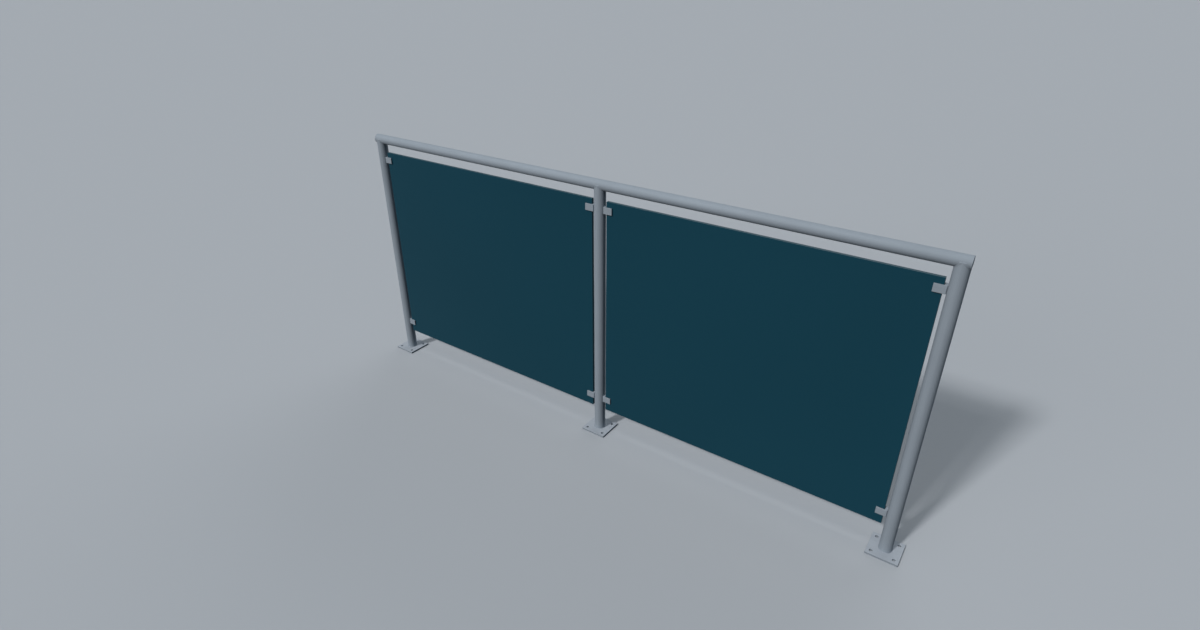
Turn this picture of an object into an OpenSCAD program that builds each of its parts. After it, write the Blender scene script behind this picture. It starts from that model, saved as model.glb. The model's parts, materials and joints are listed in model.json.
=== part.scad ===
// Glass balustrade, two bays long: three round tube posts on bolted base plates carry
// one round handrail, and eight square clamps hold a toughened glass panel in each bay.
// The origin is the centre of the middle base plate's underside, +X runs along the
// handrail, -Y is the front and +Z is up.

/* [Overall] */
// Distance from one post's axis to the next
bay_w = 1200; // [600:10:1600]
// Height from the floor to the top of the handrail
guard_h = 1103; // [900:1:1400]

/* [Posts] */
// Outside diameter of the post tube
post_d = 44.5; // [30:0.1:60]
// Wall of the post tube
post_wall = 2; // [1.5:0.1:4]

/* [Handrail] */
// Outside diameter of the handrail tube
rail_d = 40; // [30:0.1:52]
// Wall of the handrail tube
rail_wall = 2; // [1.5:0.1:4]
// How far the handrail runs past the outside of the end posts
rail_past = 0; // [0:1:150]
// Thickness of the disc that closes each end of the handrail
cap_t = 2; // [1:0.5:6]
// Length of the cap's plug inside the handrail
cap_plug = 16; // [8:1:40]

/* [Base plates] */
// Side of the square base plate
plate_w = 110; // [96:1:160]
// Thickness of the base plate
plate_t = 8; // [5:0.5:15]
// Distance from one anchor hole to the next, both ways
hole_pitch = 76; // [68:1:80]
// Diameter of the anchor holes
hole_d = 12; // [8:0.5:14]

/* [Glass] */
// Thickness of the glass
glass_t = 12; // [8:0.5:20]
// Height of the glass panel's lower edge above the floor
glass_base = 110; // [40:5:300]
// Gap between the glass panel's upper edge and the handrail
rail_gap = 36.5; // [10:0.5:200]
// Gap between the outside of a post and the edge of the glass
glass_gap = 10; // [8:0.5:30]

/* [Clamps] */
// Height of a clamp
clamp_h = 26; // [20:1:60]
// How far a clamp reaches over the glass
clamp_lap = 26.5; // [16:0.5:50]
// Thickness of each jaw
jaw_t = 4.5; // [3:0.5:10]
// Height of the lower clamps' middle above the glass's lower edge
low_clamp = 52; // [20:1:250]
// Depth of the upper clamps' middle below the glass's upper edge
high_clamp = 33.5; // [20:0.5:250]
// Thickness of the rubber between a clamp and the glass
rubber_t = 1.5; // [1:0.1:3]
// How far the rubber stands back from the jaw's edges
rubber_inset = 1; // [0:0.1:3]

/* [Fits] */
// Clearance of a curved joint round a tube
saddle_fit = 0.2; // [0.1:0.05:0.5]
// Clearance of the cap's plug inside the handrail
plug_fit = 0.2; // [0.1:0.05:0.5]

/* [Hidden] */
$fn = 96;
cut = 1;                        // how far a cutting shape runs past what it cuts

post_r = post_d / 2;
rail_r = rail_d / 2;
rail_z = guard_h - rail_r;      // height of the handrail's axis
rail_end = bay_w + post_r + rail_past;

glass_edge = post_r + glass_gap;    // from a post's axis to the edge of the glass
glass_w = bay_w - 2 * glass_edge;
glass_top = guard_h - rail_d - rail_gap;
glass_h = glass_top - glass_base;

clamp_reach = glass_edge + clamp_lap;   // from a post's axis to the clamp's outer face
slot_d = glass_t + 2 * rubber_t;        // clear depth between the two jaws
clamp_d = slot_d + 2 * jaw_t;
web_x = glass_edge - rubber_t;          // from a post's axis to the bottom of the slot
jaw_x = post_r + saddle_fit;            // from a post's axis to the jaws' inner ends

POSTS = ["left", "middle", "right"];
POST_X = [-bay_w, 0, bay_w];
BAYS = ["left", "right"];
BAY_X = [-bay_w / 2, bay_w / 2];
// Each clamp row: its name, its post's X and the side of the post it stands on.
SIDES = [["left", -bay_w, 1], ["mid_left", 0, -1], ["mid_right", 0, 1], ["right", bay_w, -1]];
LEVELS = ["upper", "lower"];
LEVEL_Z = [glass_top - high_clamp, glass_base + low_clamp];

// Square foot plate with four anchor holes, its underside on the floor
module base_plate(x) {
    color("silver")
    translate([x, 0, 0])
    difference() {
        translate([-plate_w / 2, -plate_w / 2, 0])
            cube([plate_w, plate_w, plate_t]);
        for (sx = [-1, 1], sy = [-1, 1])
            translate([sx * hole_pitch / 2, sy * hole_pitch / 2, -cut])
                cylinder(d = hole_d, h = plate_t + 2 * cut);
    }
}

// Post tube, standing on its plate and coped at the top to fit under the handrail
module post(x) {
    color("silver")
    translate([x, 0, 0])
    difference() {
        translate([0, 0, plate_t])
            cylinder(d = post_d, h = rail_z - plate_t);
        translate([0, 0, plate_t - cut])
            cylinder(d = post_d - 2 * post_wall, h = rail_z - plate_t + 2 * cut);
        translate([-post_d, 0, rail_z])
            along_x() cylinder(r = rail_r + saddle_fit, h = 2 * post_d);
    }
}

// Turns a shape that stands along +Z so that it lies along +X
module along_x() {
    rotate([0, 90, 0]) children();
}

// One round tube over all three posts, between its two end caps
module handrail() {
    tube_end = rail_end - cap_t;
    color("gainsboro")
    translate([-tube_end, 0, rail_z])
    along_x()
    difference() {
        cylinder(d = rail_d, h = 2 * tube_end);
        translate([0, 0, -cut])
            cylinder(d = rail_d - 2 * rail_wall, h = 2 * tube_end + 2 * cut);
    }
}

// Flat end cap: a disc flush with the tube and a plug inside it; side is -1 or 1
module rail_cap(side) {
    color("gainsboro")
    translate([side * rail_end, 0, rail_z])
    rotate([0, -90 * side, 0])
    union() {
        cylinder(d = rail_d, h = cap_t);
        cylinder(d = rail_d - 2 * rail_wall - 2 * plug_fit, h = cap_t + cap_plug);
    }
}

// Glass of one bay, square at its corners
module glass_panel(x) {
    color("darkslategray")
    translate([x - glass_w / 2, -glass_t / 2, glass_base])
        cube([glass_w, glass_t, glass_h]);
}

// Puts a clamp piece, drawn on the +X side of a post at the origin, on its post
module at_clamp(side, z) {
    translate([side[1], 0, z])
    mirror([side[2] < 0 ? 1 : 0, 0, 0])
        children();
}

// Front jaw and the web, whose heel between the jaws fits the round of the post
module clamp_body(side, z) {
    color("lightgray")
    at_clamp(side, z)
    difference() {
        union() {
            translate([jaw_x, -clamp_d / 2, -clamp_h / 2])
                cube([clamp_reach - jaw_x, jaw_t, clamp_h]);
            translate([jaw_x, -clamp_d / 2, -clamp_h / 2])
                cube([web_x - jaw_x, clamp_d - jaw_t, clamp_h]);
            translate([0, -slot_d / 2, -clamp_h / 2])
                cube([web_x, slot_d, clamp_h]);
        }
        translate([0, 0, -clamp_h / 2 - cut])
            cylinder(r = jaw_x, h = clamp_h + 2 * cut);
    }
}

// Rear jaw, a plate screwed to the web
module clamp_cover(side, z) {
    color("lightgray")
    at_clamp(side, z)
    translate([jaw_x, clamp_d / 2 - jaw_t, -clamp_h / 2])
        cube([clamp_reach - jaw_x, jaw_t, clamp_h]);
}

// Rubber channel round the glass's edge, between the two jaws
module clamp_rubber(side, z) {
    pad_x = clamp_reach - rubber_inset;
    pad_h = clamp_h - 2 * rubber_inset;
    color("dimgray")
    at_clamp(side, z)
    difference() {
        translate([web_x, -slot_d / 2, -pad_h / 2])
            cube([pad_x - web_x, slot_d, pad_h]);
        translate([glass_edge, -glass_t / 2, -pad_h / 2 - cut])
            cube([pad_x - glass_edge + cut, glass_t, pad_h + 2 * cut]);
    }
}

for (i = [0:2])
    base_plate(POST_X[i]);
for (i = [0:2])
    post(POST_X[i]);
handrail();
rail_cap(-1);  // rail_cap_left
rail_cap(1);  // rail_cap_right
for (i = [0:1])
    glass_panel(BAY_X[i]);
for (s = SIDES, i = [0:1])
    clamp_body(s, LEVEL_Z[i]);
for (s = SIDES, i = [0:1])
    clamp_cover(s, LEVEL_Z[i]);
for (s = SIDES, i = [0:1])
    clamp_rubber(s, LEVEL_Z[i]);
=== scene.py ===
import json
import math

import bpy
from mathutils import Matrix, Vector


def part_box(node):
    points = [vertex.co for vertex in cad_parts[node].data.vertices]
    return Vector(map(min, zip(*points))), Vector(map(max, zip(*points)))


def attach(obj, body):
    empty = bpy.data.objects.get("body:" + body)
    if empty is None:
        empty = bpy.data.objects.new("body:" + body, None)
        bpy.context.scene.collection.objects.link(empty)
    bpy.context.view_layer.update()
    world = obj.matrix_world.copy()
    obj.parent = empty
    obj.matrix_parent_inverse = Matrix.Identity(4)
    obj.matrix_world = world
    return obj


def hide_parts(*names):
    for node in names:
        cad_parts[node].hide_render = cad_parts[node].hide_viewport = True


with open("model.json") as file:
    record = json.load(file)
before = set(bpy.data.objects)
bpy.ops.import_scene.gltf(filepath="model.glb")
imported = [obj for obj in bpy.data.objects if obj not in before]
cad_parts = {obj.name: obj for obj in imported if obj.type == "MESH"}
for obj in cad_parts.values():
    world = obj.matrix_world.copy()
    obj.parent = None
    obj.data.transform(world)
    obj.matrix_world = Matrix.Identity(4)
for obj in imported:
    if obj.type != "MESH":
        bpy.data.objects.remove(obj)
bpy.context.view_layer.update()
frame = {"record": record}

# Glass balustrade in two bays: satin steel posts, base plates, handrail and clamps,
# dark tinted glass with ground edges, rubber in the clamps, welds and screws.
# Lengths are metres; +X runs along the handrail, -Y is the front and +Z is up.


# ---------------------------------------------------------------- sizes from the frame

def middle(node):
    """The centre of a CAD node's box."""
    low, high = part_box(node)
    return (low + high) / 2


POSTS = ("left", "middle", "right")
BAYS = ("left", "right")
CLAMPS = [f"{side}_{level}" for side in ("left", "mid_left", "mid_right", "right")
          for level in ("upper", "lower")]
POST_X = {name: middle(f"post_{name}").x for name in POSTS}

plate_low, plate_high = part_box("base_plate_middle")
PLATE_T = plate_high.z - plate_low.z
POST_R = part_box("post_middle")[1].x
rail_low, rail_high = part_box("handrail")
RAIL_R = (rail_high.z - rail_low.z) / 2
RAIL_Z = (rail_high.z + rail_low.z) / 2
TUBE_END = rail_high.x
RAIL_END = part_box("rail_cap_right")[1].x
CAP_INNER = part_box("rail_cap_right")[0].x

TUBE_WALL = 0.002
PLUG_FIT = 0.0002    # round a cap's plug, in the handrail
SADDLE_FIT = 0.0002  # between a post's top and the handrail

anchors = next(m for m in frame["record"]["mounts"] if m["name"] == "anchors_middle")
HOLE_HALF = anchors["dims"]["spacing_x_mm"] / 2000
HOLE_R = anchors["dims"]["hole_r_mm"] / 1000

# The clamp at the middle post's right side, upper row, is the pattern for all eight.
body_low, body_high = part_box("clamp_body_mid_right_upper")
cover_low, cover_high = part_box("clamp_cover_mid_right_upper")
rubber_low, rubber_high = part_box("clamp_rubber_mid_right_upper")
glass_low, glass_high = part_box("glass_panel_right")
CLAMP_Z = (body_low.z + body_high.z) / 2
CLAMP_H = body_high.z - body_low.z

ROUND = 96        # sides of a tube
SMALL_ROUND = 48  # sides of a hole or a screw
NEAR = 0.0001     # how near counts as being at a place
FACING = 0.9      # how far a face's normal has to go along an axis to face that way


# ---------------------------------------------------------------- modelling by hand

def clear():
    """Leaves nothing selected."""
    bpy.ops.object.select_all(action="DESELECT")


def only(piece):
    """Selects this piece alone and makes it the active one."""
    clear()
    piece.select_set(True)
    bpy.context.view_layer.objects.active = piece


def placed(name):
    """Names the primitive that was just added and moves its place into its mesh."""
    piece = bpy.context.object
    piece.name = name
    piece.data.name = name
    bpy.ops.object.transform_apply(location=True, rotation=True, scale=True)
    return piece


def block(name, low, high):
    """A cube stretched between two corners."""
    low, high = Vector(low), Vector(high)
    clear()
    bpy.ops.mesh.primitive_cube_add(size=1, location=(low + high) / 2, scale=high - low)
    return placed(name)


def rod(name, radius, start, end, sides=ROUND, ends="NGON"):
    """A cylinder from one point to another."""
    start, end = Vector(start), Vector(end)
    along = end - start
    clear()
    bpy.ops.mesh.primitive_cylinder_add(
        vertices=sides, radius=radius, depth=along.length, end_fill_type=ends,
        location=(start + end) / 2, rotation=along.to_track_quat("Z", "Y").to_euler())
    return placed(name)


def edit(piece, level, test):
    """Opens edit mode with just the faces, edges or vertices chosen that pass the test."""
    only(piece)
    mesh = piece.data
    bpy.context.tool_settings.mesh_select_mode = [level == k for k in ("VERT", "EDGE", "FACE")]
    for part in (mesh.vertices, mesh.edges, mesh.polygons):
        part.foreach_set("select", [False] * len(part))
    if level == "VERT":
        for corner in mesh.vertices:
            corner.select = test(corner.co)
    elif level == "EDGE":
        for edge in mesh.edges:
            edge.select = test(*(mesh.vertices[i].co for i in edge.vertices))
    else:
        for face in mesh.polygons:
            face.select = test(face.center, face.normal)
    bpy.ops.object.mode_set(mode="EDIT")


def close_edit():
    """Goes back to object mode."""
    bpy.ops.object.mode_set(mode="OBJECT")


def bevel(piece, test, width, steps=2):
    """Rounds the edges whose two ends pass the test."""
    edit(piece, "EDGE", test)
    bpy.ops.mesh.bevel(offset=width, segments=steps, affect="EDGES", profile=0.5)
    close_edit()


def extrude(piece, test, move):
    """Pulls the faces that pass the test out by a move."""
    edit(piece, "FACE", test)
    bpy.ops.mesh.extrude_region_move(TRANSFORM_OT_translate={"value": move})
    close_edit()


def apply_modifier(piece, kind, **settings):
    """Adds a modifier with these settings and applies it."""
    only(piece)
    modifier = piece.modifiers.new(kind.title(), kind)
    for key, value in settings.items():
        setattr(modifier, key, value)
    bpy.ops.object.modifier_apply(modifier=modifier.name)


def carve(piece, cutter, operation="DIFFERENCE"):
    """Cuts one piece with another, which is used up."""
    apply_modifier(piece, "BOOLEAN", operation=operation, object=cutter, solver="EXACT")
    bpy.data.objects.remove(cutter, do_unlink=True)


def join(name, pieces):
    """Makes one piece of several."""
    only(pieces[0])
    for piece in pieces[1:]:
        piece.select_set(True)
    bpy.ops.object.join()
    pieces[0].name = name
    pieces[0].data.name = name
    return pieces[0]


def smooth(piece, degrees=32):
    """Smooth shading, with edges kept where two faces meet at more than an angle."""
    only(piece)
    bpy.ops.object.shade_smooth_by_angle(angle=math.radians(degrees))


def smooth_block(piece):
    """Smooths the rounded edges and leaves the flat faces between them evenly shaded."""
    smooth(piece, 35)
    apply_modifier(piece, "WEIGHTED_NORMAL", keep_sharp=True)


def copied(pattern, name, place):
    """A copy with its own mesh, moved or turned by a matrix."""
    only(pattern)
    bpy.ops.object.duplicate(linked=False)
    twin = bpy.context.object
    twin.name = name
    twin.data.name = name
    twin.data.transform(place)
    return twin


def fit_out(piece, material, slot, *nodes):
    """Gives a finished piece its material and its body, and hides the CAD nodes it stands for."""
    if material:
        piece.data.materials.clear()
        piece.data.materials.append(material)
    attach(piece, "root")
    if nodes:
        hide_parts(*nodes)


def set_out(parts, place, move):
    """Copies a set of patterns to one of its places."""
    for pattern, word, material, slot, node in parts:
        nodes = [f"{node}_{place}"] if node else []
        fit_out(copied(pattern, f"{word}_{place}", move), material, slot, *nodes)


def use_up(parts):
    """Takes the patterns away once all their copies are made."""
    for pattern, *_ in parts:
        bpy.data.objects.remove(pattern, do_unlink=True)


# ---------------------------------------------------------------- materials

class Finish:
    """A material and its node tree, with short calls for the nodes that it needs."""

    def __init__(self, name):
        self.material = bpy.data.materials.new(name)
        self.material.use_nodes = True
        self.tree = self.material.node_tree
        self.shader = self.tree.nodes["Principled BSDF"]

    def node(self, kind, **inputs):
        """A node with its inputs set to numbers or linked to other nodes' outputs."""
        made = self.tree.nodes.new(kind)
        for key, value in inputs.items():
            if isinstance(value, bpy.types.NodeSocket):
                self.tree.links.new(value, made.inputs[key])
            else:
                made.inputs[key].default_value = value
        return made

    def place(self, scale=(1, 1, 1)):
        """Object coordinates, stretched."""
        coordinates = self.tree.nodes.new("ShaderNodeTexCoord")
        return self.node("ShaderNodeMapping", Vector=coordinates.outputs["Object"],
                         Scale=scale).outputs["Vector"]

    def noise(self, place, scale=1.0, detail=2.0, roughness=0.5):
        """Soft noise, from nought to one."""
        return self.node("ShaderNodeTexNoise", Vector=place, Scale=scale, Detail=detail,
                         Roughness=roughness).outputs["Fac"]

    def ranged(self, value, low, high, start=0.3, end=0.7):
        """A value between start and end, mapped to low and high."""
        made = self.tree.nodes.new("ShaderNodeMapRange")
        self.tree.links.new(value, made.inputs["Value"])
        made.inputs["From Min"].default_value = start
        made.inputs["From Max"].default_value = end
        made.inputs["To Min"].default_value = low
        made.inputs["To Max"].default_value = high
        return made.outputs["Result"]

    def maths(self, operation, a, b):
        """One sum on two values, each a number or a node's output."""
        made = self.tree.nodes.new("ShaderNodeMath")
        made.operation = operation
        for socket, value in zip(made.inputs, (a, b)):
            if isinstance(value, bpy.types.NodeSocket):
                self.tree.links.new(value, socket)
            else:
                socket.default_value = value
        return made.outputs["Value"]

    def tinted(self, colour, value):
        """A colour made lighter or darker by a value near one."""
        made = self.tree.nodes.new("ShaderNodeVectorMath")
        made.operation = "SCALE"
        made.inputs[0].default_value = colour
        self.tree.links.new(value, made.inputs["Scale"])
        return made.outputs["Vector"]

    def bump(self, height, distance, strength):
        """Fine relief; distance is its depth in metres."""
        return self.node("ShaderNodeBump", Height=height, Distance=distance,
                         Strength=strength).outputs["Normal"]

    def set(self, **sockets):
        """Sets or links the shader's sockets, with _ for the spaces in their names."""
        for key, value in sockets.items():
            socket = self.shader.inputs[key.replace("_", " ")]
            if isinstance(value, bpy.types.NodeSocket):
                self.tree.links.new(value, socket)
            else:
                socket.default_value = value


STEEL = (0.305, 0.345, 0.388)
# The plate's colour is lighter than the steel's as painted light, so that its top reads brighter.
PLATE_TOP_PAINTED_LIGHT = (0.387, 0.421, 0.466)
GLASS = (0.0095, 0.0574, 0.0864)
GLASS_EDGE = (0.034, 0.088, 0.115)
RUBBER = (0.016, 0.016, 0.018)
STEEL_METAL = 0.03
STEEL_SHINE = 0.08

# How often the grain changes in a metre, across its lines and along them.
ACROSS = 1900.0
ALONG = 9.0
CUT = 60.0       # down the sides of a laser-cut plate
TURNED = 300.0   # a screw's head, the same in all directions


def darker(colour, share):
    """A colour at a share of its brightness."""
    return [part * share for part in colour]


def satin_steel(name, grain, base=STEEL, rough=0.66):
    """Satin steel with fine lines of grain; grain is ALONG on the axis that the lines follow."""
    wider = 0.22
    share = 0.6
    finish = Finish(name)
    fine = finish.noise(finish.place(scale=grain), detail=3.0, roughness=0.6)
    broad = finish.noise(finish.place(scale=[rate * wider for rate in grain]), detail=2.0)
    cloud = finish.noise(finish.place(), scale=6.0, detail=3.0)
    most = finish.maths("MULTIPLY", fine, share)
    rest = finish.maths("MULTIPLY", broad, 1 - share)
    lines = finish.maths("ADD", most, rest)
    streaks = finish.ranged(lines, 0.93, 1.07)
    patches = finish.ranged(cloud, 0.97, 1.03)
    dull = finish.ranged(cloud, rough - 0.03, rough + 0.03)
    finish.set(
        Base_Color=finish.tinted(base, finish.maths("MULTIPLY", streaks, patches)),
        Roughness=finish.maths("ADD", dull, finish.ranged(lines, -0.04, 0.04)),
        Normal=finish.bump(lines, distance=0.00003, strength=0.6),
        Metallic=STEEL_METAL,
        Specular_IOR_Level=STEEL_SHINE)
    return finish.material


def weld_steel():
    """Brushed weld metal, gritty and a little darker than the tube."""
    finish = Finish("weld_steel")
    grit = finish.noise(finish.place(), scale=900.0, detail=3.0)
    cloud = finish.noise(finish.place(), scale=60.0, detail=2.0)
    finish.set(
        Base_Color=finish.tinted(darker(STEEL, 0.93), finish.ranged(cloud, 0.9, 1.08)),
        Roughness=finish.ranged(grit, 0.42, 0.6),
        Normal=finish.bump(grit, distance=0.0001, strength=0.5),
        Metallic=STEEL_METAL,
        Specular_IOR_Level=STEEL_SHINE)
    return finish.material


def dark_glass():
    """Body-tinted blue-green glass, dark enough to hide what stands behind it."""
    finish = Finish("dark_glass")
    cloud = finish.noise(finish.place(), scale=1.3, detail=1.0)
    finish.set(
        Base_Color=finish.tinted(GLASS, finish.ranged(cloud, 0.97, 1.03)),
        Roughness=finish.ranged(cloud, 0.05, 0.08),
        IOR=1.5,
        Specular_IOR_Level=0.06)
    return finish.material


def ground_edge():
    """The ground edge of the glass, matt and paler than its faces."""
    finish = Finish("ground_glass_edge")
    lines = finish.noise(finish.place(scale=(60.0, 1500.0, 60.0)), detail=2.0)
    finish.set(
        Base_Color=finish.tinted(GLASS_EDGE, finish.ranged(lines, 0.88, 1.12)),
        Roughness=finish.ranged(lines, 0.42, 0.52),
        IOR=1.5,
        Specular_IOR_Level=0.05)
    return finish.material


def black_rubber():
    """Matt black rubber with a fine grit."""
    finish = Finish("black_rubber")
    grit = finish.noise(finish.place(), scale=1400.0, detail=2.0)
    finish.set(
        Base_Color=finish.tinted(RUBBER, finish.ranged(grit, 0.85, 1.15)),
        Roughness=finish.ranged(grit, 0.72, 0.88),
        Normal=finish.bump(grit, distance=0.00005, strength=0.5),
        Specular_IOR_Level=0.3)
    return finish.material


post_steel = satin_steel("post_steel", (ACROSS, ACROSS, ALONG))
rail_steel = satin_steel("rail_steel", (ALONG, ACROSS, ACROSS))
# The plate's top and bottom take a lighter copy of the steel, painted light; its sides take a
# darker copy, painted shade.
plate_steel = satin_steel("plate_steel", (ALONG, ACROSS, ACROSS), PLATE_TOP_PAINTED_LIGHT)
# The cut sides are rougher, and their colour is painted darker as shade.
plate_side_painted_shade = satin_steel("plate_side_painted_shade", (ACROSS, ACROSS, CUT), darker(STEEL, 0.95), rough=0.72)
clamp_steel = satin_steel("clamp_steel", (ALONG, ACROSS, ACROSS))
cap_steel = satin_steel("cap_steel", (ACROSS, ALONG, ACROSS))
screw_steel = satin_steel("screw_steel", (TURNED, TURNED, TURNED), rough=0.38)
weld_metal = weld_steel()
glass_face = dark_glass()
glass_edge = ground_edge()
rubber = black_rubber()


# ---------------------------------------------------------------- base plates and posts

def base_plate():
    """Plate with rounded corners, an eased top, four anchor holes and rougher cut sides; the top is
    painted lighter as light and the sides darker as shade.
    """
    corner_round = 0.0012
    top_ease = 0.0006
    hole_ease = 0.0004
    top = PLATE_T - NEAR
    plate = block("base_plate", plate_low, plate_high)
    bevel(plate, lambda a, b: abs(a.z - b.z) > PLATE_T / 2, corner_round, 3)
    bevel(plate, lambda a, b: min(a.z, b.z) > top, top_ease, 2)
    for x in (-HOLE_HALF, HOLE_HALF):
        for y in (-HOLE_HALF, HOLE_HALF):
            carve(plate, rod("drill", HOLE_R, (x, y, -PLATE_T), (x, y, 2 * PLATE_T), SMALL_ROUND))

    def at_hole(corner):
        from_hole = math.hypot(abs(corner.x) - HOLE_HALF, abs(corner.y) - HOLE_HALF)
        return corner.z > top and abs(from_hole - HOLE_R) < 2 * NEAR
    bevel(plate, lambda a, b: at_hole(a) and at_hole(b), hole_ease, 2)
    smooth_block(plate)
    plate.data.materials.append(plate_steel)
    plate.data.materials.append(plate_side_painted_shade)
    # Faces that point up or down take the lighter colour, painted light; the sides and the holes'
    # walls take the darker one, painted shade.
    for face in plate.data.polygons:
        face.material_index = 1 if abs(face.normal.z) < 1 - FACING else 0
    return plate


def post():
    """Tube that stands on its plate and is coped to fit round the handrail from below."""
    past = 2 * POST_R
    tube = rod("post", POST_R, (0, 0, PLATE_T), (0, 0, RAIL_Z), ends="NOTHING")
    apply_modifier(tube, "SOLIDIFY", thickness=TUBE_WALL, offset=-1)
    carve(tube, rod("cope", RAIL_R + SADDLE_FIT, (-past, 0, RAIL_Z), (past, 0, RAIL_Z)))
    smooth(tube)
    return tube


def foot_weld():
    """Weld bead round the foot of a post, with the ripple that each stop of the torch leaves."""
    stops = 48
    proud = 0.0002
    bead_r = 0.0013
    lift = 0.0001
    ripple = 0.00015
    narrow = 0.1
    clear()
    bpy.ops.mesh.primitive_torus_add(
        major_radius=POST_R + proud, minor_radius=bead_r, major_segments=stops * 3,
        minor_segments=14, location=(0, 0, PLATE_T + lift))
    bead = placed("foot_weld")

    def crest(corner):
        step = math.atan2(corner.y, corner.x) / (2 * math.pi) * stops
        return abs(step - round(step)) < narrow
    edit(bead, "VERT", crest)
    bpy.ops.transform.shrink_fatten(value=ripple)
    close_edit()
    apply_modifier(bead, "SUBSURF", levels=1, render_levels=1)
    smooth(bead, 80)
    return bead


def saddle_weld():
    """Weld along the curve where a post meets the handrail, ground nearly flush with the post."""
    proud = 0.0004
    sunk = 0.0004
    crown = 0.0022
    below = 0.012
    reach = 0.05
    grain = 0.00032
    top = (0, 0, RAIL_Z + crown)
    bead = rod("saddle_weld", POST_R + proud, (0, 0, RAIL_Z - RAIL_R - below), top)
    bevel(bead, lambda a, b: min(a.z, b.z) > RAIL_Z, crown, 2)
    along_rail = ((-reach, 0, RAIL_Z), (reach, 0, RAIL_Z))
    bore_low = (0, 0, RAIL_Z - 2 * reach)
    carve(bead, rod("outer", RAIL_R + crown, *along_rail), "INTERSECT")
    carve(bead, rod("tube", RAIL_R - sunk, *along_rail))
    carve(bead, rod("bore", POST_R - 2.5 * sunk, bore_low, (0, 0, RAIL_Z - sunk)))
    apply_modifier(bead, "REMESH", mode="VOXEL", voxel_size=grain)
    apply_modifier(bead, "SMOOTH", factor=0.6, iterations=6)
    smooth(bead, 80)
    return bead


# Each pattern with its copies' name, material (None where it has its own), slot and CAD node.
POST_PARTS = (
    (base_plate(), "plate", None, "plate_steel", "base_plate"),
    (post(), "tube", post_steel, "tube_steel", "post"),
    (foot_weld(), "foot_weld", weld_metal, "tube_steel", None),
    (saddle_weld(), "saddle_weld", weld_metal, "tube_steel", None),
)
for place in POSTS:
    set_out(POST_PARTS, place, Matrix.Translation((POST_X[place], 0, 0)))
use_up(POST_PARTS)


# ---------------------------------------------------------------- handrail

def rail_tube():
    """One tube over all three posts, its cut ends eased for the caps."""
    end_ease = 0.00025
    tube = rod("rail_tube", RAIL_R, (-TUBE_END, 0, RAIL_Z), (TUBE_END, 0, RAIL_Z), ends="NOTHING")
    apply_modifier(tube, "SOLIDIFY", thickness=TUBE_WALL, offset=-1)

    def at_end(corner):
        outside = math.hypot(corner.y, corner.z - RAIL_Z) > RAIL_R - NEAR
        return abs(corner.x) > TUBE_END - NEAR and outside
    bevel(tube, lambda a, b: at_end(a) and at_end(b), end_ease, 2)
    smooth(tube)
    return tube


def rail_cap(side):
    """Flat cap with an eased rim and a plug that goes into the tube."""
    rim_ease = 0.0005
    cap = rod("rail_cap", RAIL_R, (side * TUBE_END, 0, RAIL_Z), (side * RAIL_END, 0, RAIL_Z))

    def at_rim(corner):
        return abs(abs(corner.x) - RAIL_END) < NEAR
    bevel(cap, lambda a, b: at_rim(a) and at_rim(b) and (a - b).length < RAIL_R, rim_ease, 3)
    edit(cap, "FACE", lambda centre, normal: normal.x * side < -FACING)
    bpy.ops.mesh.inset(thickness=TUBE_WALL + PLUG_FIT)
    into_tube = (-side * (TUBE_END - CAP_INNER), 0, 0)
    bpy.ops.mesh.extrude_region_move(TRANSFORM_OT_translate={"value": into_tube})
    close_edit()
    smooth(cap)
    return cap


fit_out(rail_tube(), rail_steel, "tube_steel", "handrail")
for name, side in (("left", -1), ("right", 1)):
    cap = rail_cap(side)
    cap.name = f"end_cap_{name}"
    fit_out(cap, cap_steel, "tube_steel", f"rail_cap_{name}")


# ---------------------------------------------------------------- glass

def glass_panel(bay):
    """Panel with flat arrises along all its edges and ground edge faces."""
    arris = 0.0005
    pane = block(f"pane_{bay}", *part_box(f"glass_panel_{bay}"))
    bevel(pane, lambda a, b: True, arris, 1)
    pane.data.materials.append(glass_face)
    pane.data.materials.append(glass_edge)
    for face in pane.data.polygons:
        face.material_index = 0 if abs(face.normal.y) > FACING else 1
    return pane


for bay in BAYS:
    fit_out(glass_panel(bay), None, "glass", f"glass_panel_{bay}")


# ---------------------------------------------------------------- clamps

JAW_EASE = 0.0009
CLEAR_OF = 0.001  # an edge this far past the web or the rubber belongs to a jaw
SCREW_R = 0.0035
SCREW_APART = 0.013
SCREW_X = (cover_low.x + rubber_low.x) / 2
SCREW_Z = (CLAMP_Z - SCREW_APART / 2, CLAMP_Z + SCREW_APART / 2)
SCREW_SUNK = 0.0002


def clamp_body():
    """Front jaw and web, with a heel between the jaws that is hollowed to fit the post."""
    jaw_back = rubber_low.y
    web_end = rubber_low.x
    heel_end = cover_low.x
    corner = (web_end, jaw_back, body_high.z)
    body = block("clamp_body", (heel_end, body_low.y, body_low.z), corner)

    def jaw_tip(centre, normal):
        return normal.x > FACING

    def web_back(centre, normal):
        return normal.y > FACING and centre.x < web_end

    def heel_front(centre, normal):
        return normal.x < -FACING and centre.y > jaw_back
    extrude(body, jaw_tip, (body_high.x - web_end, 0, 0))
    extrude(body, web_back, (0, body_high.y - jaw_back, 0))
    extrude(body, heel_front, (-heel_end, 0, 0))

    def jaw_edge(a, b):
        return min(a.x, b.x) > web_end + CLEAR_OF or max(a.y, b.y) < jaw_back - CLEAR_OF
    bevel(body, jaw_edge, JAW_EASE, 3)
    carve(body, rod("post_room", heel_end, (0, 0, CLAMP_Z - CLAMP_H), (0, 0, CLAMP_Z + CLAMP_H)))
    smooth_block(body)
    return body


def cone(name, tip_r, head_r, face, z):
    """A cone as deep as a screw's head, its wide end at a face of the clamp's back."""
    clear()
    bpy.ops.mesh.primitive_cone_add(
        vertices=SMALL_ROUND, radius1=tip_r, radius2=head_r, depth=SCREW_R,
        location=(SCREW_X, face - SCREW_R / 2, z), rotation=(-math.pi / 2, 0, 0))
    return placed(name)


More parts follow.
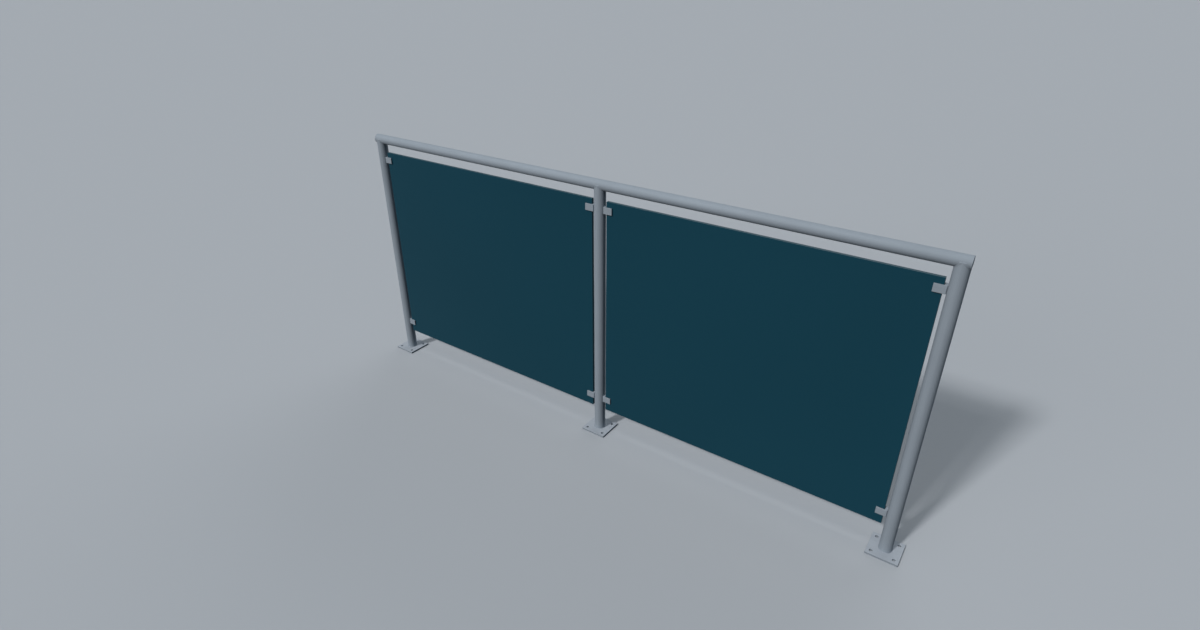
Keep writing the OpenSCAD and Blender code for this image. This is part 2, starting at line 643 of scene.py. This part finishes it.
def clamp_cover():
    """Rear jaw with two countersinks over the web."""
    room = 0.0003
    past = 0.0002
    tip_r = SCREW_R * 0.45
    cover = block("clamp_cover", cover_low, cover_high)

    def jaw_edge(a, b):
        return min(a.x, b.x) > cover_high.x - CLEAR_OF or min(a.y, b.y) > cover_low.y + CLEAR_OF
    bevel(cover, jaw_edge, JAW_EASE, 3)
    for z in SCREW_Z:
        cutter = cone("countersink", tip_r, SCREW_R + room, cover_high.y + past, z)
        carve(cover, cutter)
    smooth_block(cover)
    return cover


def clamp_screws():
    """Two countersunk screws with hexagon sockets, just below the cover's face."""
    face = cover_high.y - SCREW_SUNK
    tip_r = SCREW_R * 0.42
    head_ease = 0.0003
    key_r = 0.0017
    key_depth = 0.0016
    past = 0.001
    screws = []
    for z in SCREW_Z:
        screw = cone("screw", tip_r, SCREW_R, face, z)
        bevel(screw, lambda a, b: min(a.y, b.y) > face - NEAR, head_ease, 2)
        bottom = (SCREW_X, face - key_depth, z)
        carve(screw, rod("socket", key_r, bottom, (SCREW_X, face + past, z), sides=6))
        screws.append(screw)
    screws = join("clamp_screws", screws)
    smooth(screws)
    return screws


def clamp_rubber():
    """Channel of rubber folded round the edge of the glass."""
    past = 0.01
    lip_ease = 0.0003
    channel = block("clamp_rubber", rubber_low, rubber_high)
    room_low = (glass_low.x, glass_low.y, rubber_low.z - past)
    room_high = (rubber_high.x + past, glass_high.y, rubber_high.z + past)
    carve(channel, block("pane_room", room_low, room_high))
    bevel(channel, lambda a, b: min(a.x, b.x) > rubber_high.x - NEAR, lip_ease, 2)
    smooth(channel)
    return channel


CLAMP_PARTS = (
    (clamp_body(), "jaw", clamp_steel, "clamp_steel", "clamp_body"),
    (clamp_cover(), "cover", clamp_steel, "clamp_steel", "clamp_cover"),
    (clamp_rubber(), "gasket", rubber, "clamp_rubber", "clamp_rubber"),
    (clamp_screws(), "screws", screw_steel, "clamp_steel", None),
)
for place in CLAMPS:
    at = middle(f"clamp_body_{place}")
    post_x = min(POST_X.values(), key=lambda x: abs(x - at.x))
    # A clamp on a post's other side is the same one, turned about the line that points to the back.
    turn = Matrix.Rotation(0 if at.x > post_x else math.pi, 4, "Y")
    move = Matrix.Translation((post_x, 0, at.z)) @ turn @ Matrix.Translation((0, 0, -CLAMP_Z))
    set_out(CLAMP_PARTS, place, move)
use_up(CLAMP_PARTS)


# ---------------------------------------------------------------- floor, lights and camera

FLOOR_SIZE = 160
FLOOR_SEEN = (0.455, 0.476, 0.504)    # what the camera, gloss and glass see
FLOOR_BOUNCE = (0.020, 0.021, 0.023)  # what lights the object from below
WORLD_SEEN = (0.371, 0.402, 0.440)
DOME = (0.50, 0.77, 1.0)              # what lights the object from all round
DOME_LEVEL = 0.075
DOME_OVERHEAD = 0.22
LAMP_AWAY = 6

EYE_PLACE = (1.3552, -1.9339, 1.8079)
EYE_DOWN = 28.02   # degrees below level
EYE_TURN = 35.023  # degrees to the left of square to the handrail
SENSOR = 36
LENS = 20.214


def seen(tree):
    """One for camera, glossy and transmission rays, else zero."""
    path = tree.nodes.new("ShaderNodeLightPath")
    most = path.outputs["Is Camera Ray"]
    for other in ("Is Glossy Ray", "Is Transmission Ray"):
        either = tree.nodes.new("ShaderNodeMath")
        either.operation = "MAXIMUM"
        tree.links.new(most, either.inputs[0])
        tree.links.new(path.outputs[other], either.inputs[1])
        most = either.outputs["Value"]
    return most


def floor():
    """Plain pale floor that the object's shadow falls on."""
    clear()
    bpy.ops.mesh.primitive_plane_add(size=FLOOR_SIZE, location=(0, 0, 0))
    ground = placed("floor")
    material = bpy.data.materials.new("floor_paper")
    material.use_nodes = True
    tree = material.node_tree
    tree.nodes.clear()
    mix = tree.nodes.new("ShaderNodeMixShader")
    tree.links.new(seen(tree), mix.inputs["Fac"])
    for socket, colour in ((1, FLOOR_BOUNCE), (2, FLOOR_SEEN)):
        matt = tree.nodes.new("ShaderNodeBsdfDiffuse")
        matt.inputs["Color"].default_value = (*colour, 1)
        tree.links.new(matt.outputs["BSDF"], mix.inputs[socket])
    output = tree.nodes.new("ShaderNodeOutputMaterial")
    tree.links.new(mix.outputs["Shader"], output.inputs["Surface"])
    ground.data.materials.append(material)


def sky():
    """Dim at eye level and brighter overhead for the object, plain for the camera."""
    world = bpy.data.worlds.new("studio")
    world.use_nodes = True
    tree = world.node_tree
    tree.nodes.clear()
    coordinates = tree.nodes.new("ShaderNodeTexCoord")
    parts = tree.nodes.new("ShaderNodeSeparateXYZ")
    tree.links.new(coordinates.outputs["Generated"], parts.inputs["Vector"])
    height = tree.nodes.new("ShaderNodeMapRange")
    tree.links.new(parts.outputs["Z"], height.inputs["Value"])
    height.inputs["To Min"].default_value = DOME_LEVEL
    height.inputs["To Max"].default_value = DOME_OVERHEAD
    plain = tree.nodes.new("ShaderNodeBackground")
    plain.inputs["Color"].default_value = (*WORLD_SEEN, 1)
    dome = tree.nodes.new("ShaderNodeBackground")
    dome.inputs["Color"].default_value = (*DOME, 1)
    tree.links.new(height.outputs["Result"], dome.inputs["Strength"])
    mix = tree.nodes.new("ShaderNodeMixShader")
    tree.links.new(seen(tree), mix.inputs["Fac"])
    tree.links.new(dome.outputs["Background"], mix.inputs[1])
    tree.links.new(plain.outputs["Background"], mix.inputs[2])
    output = tree.nodes.new("ShaderNodeOutputWorld")
    tree.links.new(mix.outputs["Shader"], output.inputs["Surface"])
    bpy.context.scene.world = world


def sun(name, azimuth, elevation, strength, size, colour=(1, 1, 1)):
    """A lamp as far off as a sun; azimuth, elevation and apparent size are in degrees."""
    turn = math.radians(azimuth)
    lift = math.radians(elevation)
    level = math.cos(lift)
    source = Vector((math.cos(turn) * level, math.sin(turn) * level, math.sin(lift)))
    bpy.ops.object.light_add(type="SUN", location=source * LAMP_AWAY)
    lamp = bpy.context.object
    lamp.name = name
    lamp.rotation_euler = source.to_track_quat("Z", "Y").to_euler()
    lamp.data.energy = strength
    lamp.data.angle = math.radians(size)
    lamp.data.color = colour


def camera():
    """Stands at head height in front of the right post and looks down along the rail."""
    bpy.ops.object.camera_add(
        location=EYE_PLACE,
        rotation=(math.radians(90 - EYE_DOWN), 0, math.radians(EYE_TURN)))
    eye = bpy.context.object
    eye.data.sensor_width = SENSOR
    eye.data.lens = LENS
    bpy.context.scene.camera = eye


floor()
sky()
sun("key_light", azimuth=-105, elevation=41, strength=1.93, size=6)
sun("fill_light", azimuth=-110, elevation=12, strength=0.55, size=40)
sun("top_light", azimuth=-105, elevation=88, strength=0.62, size=35, colour=(1.0, 0.94, 0.88))
sun("back_light", azimuth=95, elevation=18, strength=0.85, size=60)
camera()
bpy.context.scene.view_settings.view_transform = "Standard"
